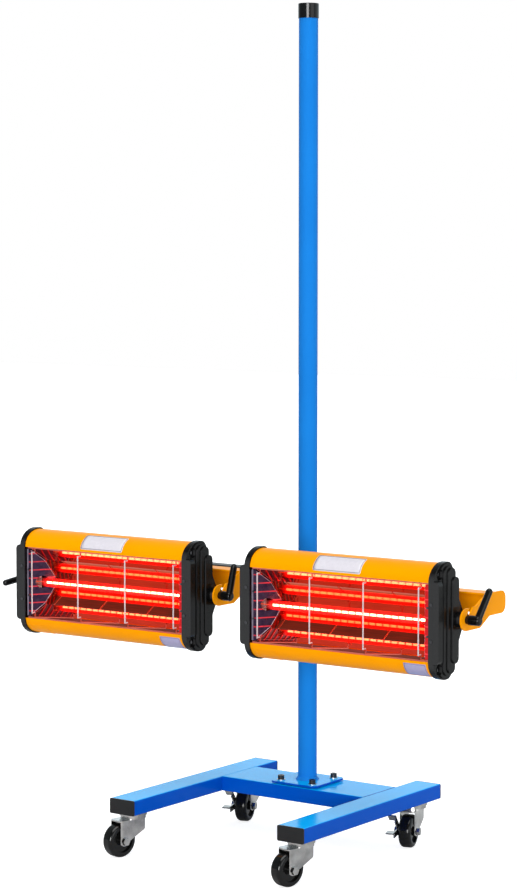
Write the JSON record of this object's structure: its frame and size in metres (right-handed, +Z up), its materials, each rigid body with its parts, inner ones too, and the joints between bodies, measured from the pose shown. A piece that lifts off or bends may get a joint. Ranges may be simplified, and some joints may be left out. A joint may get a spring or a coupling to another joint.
{
  "type": "infrared paint curing lamp",
  "caption": "Wheeled stand with a tall pole carrying long infrared heater heads on tilting yokes, used to bake fresh paint on vehicle panels.",
  "frame": {"origin": "centre of the overall bounding box in plan, at floor level under the wheels", "axes": "+Z up along the pole, -Y the way the lamp heads face, +X to the right as seen from in front of the heads looking at the rear (along +Y)"},
  "size_m": [1.0978, 0.5172, 1.664],
  "materials": {
    "blue_paint": "glossy powder coat",
    "yellow_paint": "glossy powder coat",
    "black_paint": "satin black paint",
    "black_plastic": "fine-grained moulded plastic",
    "gloss_black_plastic": "smooth black plastic",
    "wheel_plastic": "smooth hard black tread",
    "black_steel": "black oxide",
    "zinc_steel": "bright zinc plate",
    "polished_aluminium": "polished reflector sheet",
    "quartz": "clear quartz glass",
    "tungsten": "glowing coil",
    "ceramic": "white fired ceramic",
    "white_enamel": "white heat-proof enamel"
  },
  "bodies": {
    "base": {"left_beam": "blue_paint", "right_beam": "blue_paint", "crossbar": "blue_paint", "beam_end_caps": "black_plastic", "foot_plate": "blue_paint", "foot_bolts": "black_steel", "foot_washers": "zinc_steel", "foot_nuts": "zinc_steel", "pole": "blue_paint", "pole_cap": "gloss_black_plastic", "caster_mounts": "zinc_steel"},
    "front_left_caster": {"front_left_fork": "zinc_steel", "front_left_axle": "zinc_steel"},
    "front_left_wheel": {"front_left_wheel": "wheel_plastic"},
    "front_right_caster": {"front_right_fork": "zinc_steel", "front_right_axle": "zinc_steel"},
    "front_right_wheel": {"front_right_wheel": "wheel_plastic"},
    "rear_left_caster": {"rear_left_fork": "zinc_steel", "rear_left_axle": "zinc_steel"},
    "rear_left_wheel": {"rear_left_wheel": "wheel_plastic"},
    "rear_left_brake": {"rear_left_brake": "zinc_steel"},
    "rear_right_caster": {"rear_right_fork": "zinc_steel", "rear_right_axle": "zinc_steel"},
    "rear_right_wheel": {"rear_right_wheel": "wheel_plastic"},
    "rear_right_brake": {"rear_right_brake": "zinc_steel"},
    "collar": {"stop_collar": "black_paint"},
    "carrier": {"pole_sleeve": "black_paint", "support_bar": "black_paint", "bar_end_caps": "black_plastic", "left_head_swivel_bolt": "zinc_steel", "right_head_swivel_bolt": "zinc_steel"},
    "knob": {"sleeve_knob": "black_plastic"},
    "left_head_yoke": {"left_head_yoke": "yellow_paint"},
    "left_head": {"left_head_housing": "yellow_paint", "left_head_left_cap": "black_plastic", "left_head_right_cap": "black_plastic", "left_head_reflector": "polished_aluminium", "left_head_reflector_ends": "polished_aluminium", "left_head_lamp_tube": "quartz", "left_head_filament": "tungsten", "left_head_tube_holders": "ceramic", "left_head_guard": "white_enamel", "left_head_rear_cover": "black_paint", "left_head_screws": "black_steel"},
    "left_head_left_lever": {"left_head_left_lever": "gloss_black_plastic"},
    "left_head_right_lever": {"left_head_right_lever": "gloss_black_plastic"},
    "right_head_yoke": {"right_head_yoke": "yellow_paint"},
    "right_head": {"right_head_housing": "yellow_paint", "right_head_left_cap": "black_plastic", "right_head_right_cap": "black_plastic", "right_head_reflector": "polished_aluminium", "right_head_reflector_ends": "polished_aluminium", "right_head_lamp_tube": "quartz", "right_head_filament": "tungsten", "right_head_tube_holders": "ceramic", "right_head_guard": "white_enamel", "right_head_rear_cover": "black_paint", "right_head_screws": "black_steel"},
    "right_head_left_lever": {"right_head_left_lever": "gloss_black_plastic"},
    "right_head_right_lever": {"right_head_right_lever": "gloss_black_plastic"}
  },
  "joints": [
    {"name": "front_left_swivel", "type": "hinge", "parent": "base", "child": "front_left_caster", "pos_m": [-0.2, -0.19086, 0.079], "axis": [0, 0, 1], "continuous": true},
    {"name": "front_left_spin", "type": "hinge", "parent": "front_left_caster", "child": "front_left_wheel", "pos_m": [-0.20787, -0.22496, 0.033], "axis": [0.9744, -0.225, 0], "continuous": true},
    {"name": "front_right_swivel", "type": "hinge", "parent": "base", "child": "front_right_caster", "pos_m": [0.2, -0.19086, 0.079], "axis": [0, 0, 1], "continuous": true},
    {"name": "front_right_spin", "type": "hinge", "parent": "front_right_caster", "child": "front_right_wheel", "pos_m": [0.19213, -0.22496, 0.033], "axis": [0.9744, -0.225, 0], "continuous": true},
    {"name": "rear_left_swivel", "type": "hinge", "parent": "base", "child": "rear_left_caster", "pos_m": [-0.2, 0.20414, 0.079], "axis": [0, 0, 1], "continuous": true},
    {"name": "rear_left_spin", "type": "hinge", "parent": "rear_left_caster", "child": "rear_left_wheel", "pos_m": [-0.19065, 0.17042, 0.033], "axis": [0.9636, 0.2672, 0], "continuous": true},
    {"name": "rear_left_brake_press", "type": "hinge", "parent": "rear_left_caster", "child": "rear_left_brake", "pos_m": [-0.19065, 0.17042, 0.033], "axis": [0.9636, 0.2672, 0], "range_deg": [0, 14]},
    {"name": "rear_right_swivel", "type": "hinge", "parent": "base", "child": "rear_right_caster", "pos_m": [0.2, 0.20414, 0.079], "axis": [0, 0, 1], "continuous": true},
    {"name": "rear_right_spin", "type": "hinge", "parent": "rear_right_caster", "child": "rear_right_wheel", "pos_m": [0.20935, 0.17042, 0.033], "axis": [0.9636, 0.2672, 0], "continuous": true},
    {"name": "rear_right_brake_press", "type": "hinge", "parent": "rear_right_caster", "child": "rear_right_brake", "pos_m": [0.20935, 0.17042, 0.033], "axis": [0.9636, 0.2672, 0], "range_deg": [0, 14]},
    {"name": "collar_slide", "type": "slide", "parent": "base", "child": "collar", "axis": [0, 0, 1], "range_m": [-0.15, 1.05]},
    {"name": "carrier_turn", "type": "hinge", "parent": "collar", "child": "carrier", "pos_m": [0, 0.12114, 0.474], "axis": [0, 0, 1], "continuous": true},
    {"name": "knob_turn", "type": "hinge", "parent": "carrier", "child": "knob", "pos_m": [0, 0.15934, 0.5115], "axis": [0, 1, 0], "continuous": true},
    {"name": "left_head_swivel", "type": "hinge", "parent": "carrier", "child": "left_head_yoke", "pos_m": [-0.278, -0.00886, 0.537], "axis": [0, 1, 0], "range_deg": [-20, 20]},
    {"name": "left_head_tilt", "type": "hinge", "parent": "left_head_yoke", "child": "left_head", "pos_m": [-0.278, -0.11486, 0.515], "axis": [1, 0, 0], "range_deg": [-50, 75]},
    {"name": "left_head_left_lever_turn", "type": "hinge", "parent": "left_head_yoke", "child": "left_head_left_lever", "pos_m": [-0.5115, -0.11486, 0.515], "axis": [1, 0, 0], "range_deg": [-90, 90]},
    {"name": "left_head_right_lever_turn", "type": "hinge", "parent": "left_head_yoke", "child": "left_head_right_lever", "pos_m": [-0.0445, -0.11486, 0.515], "axis": [1, 0, 0], "range_deg": [-90, 90]},
    {"name": "right_head_swivel", "type": "hinge", "parent": "carrier", "child": "right_head_yoke", "pos_m": [0.278, -0.00886, 0.537], "axis": [0, 1, 0], "range_deg": [-20, 20]},
    {"name": "right_head_tilt", "type": "hinge", "parent": "right_head_yoke", "child": "right_head", "pos_m": [0.278, -0.11486, 0.515], "axis": [1, 0, 0], "range_deg": [-50, 75]},
    {"name": "right_head_left_lever_turn", "type": "hinge", "parent": "right_head_yoke", "child": "right_head_left_lever", "pos_m": [0.0445, -0.11486, 0.515], "axis": [1, 0, 0], "range_deg": [-90, 90]},
    {"name": "right_head_right_lever_turn", "type": "hinge", "parent": "right_head_yoke", "child": "right_head_right_lever", "pos_m": [0.5115, -0.11486, 0.515], "axis": [1, 0, 0], "range_deg": [-90, 90]}
  ]
}
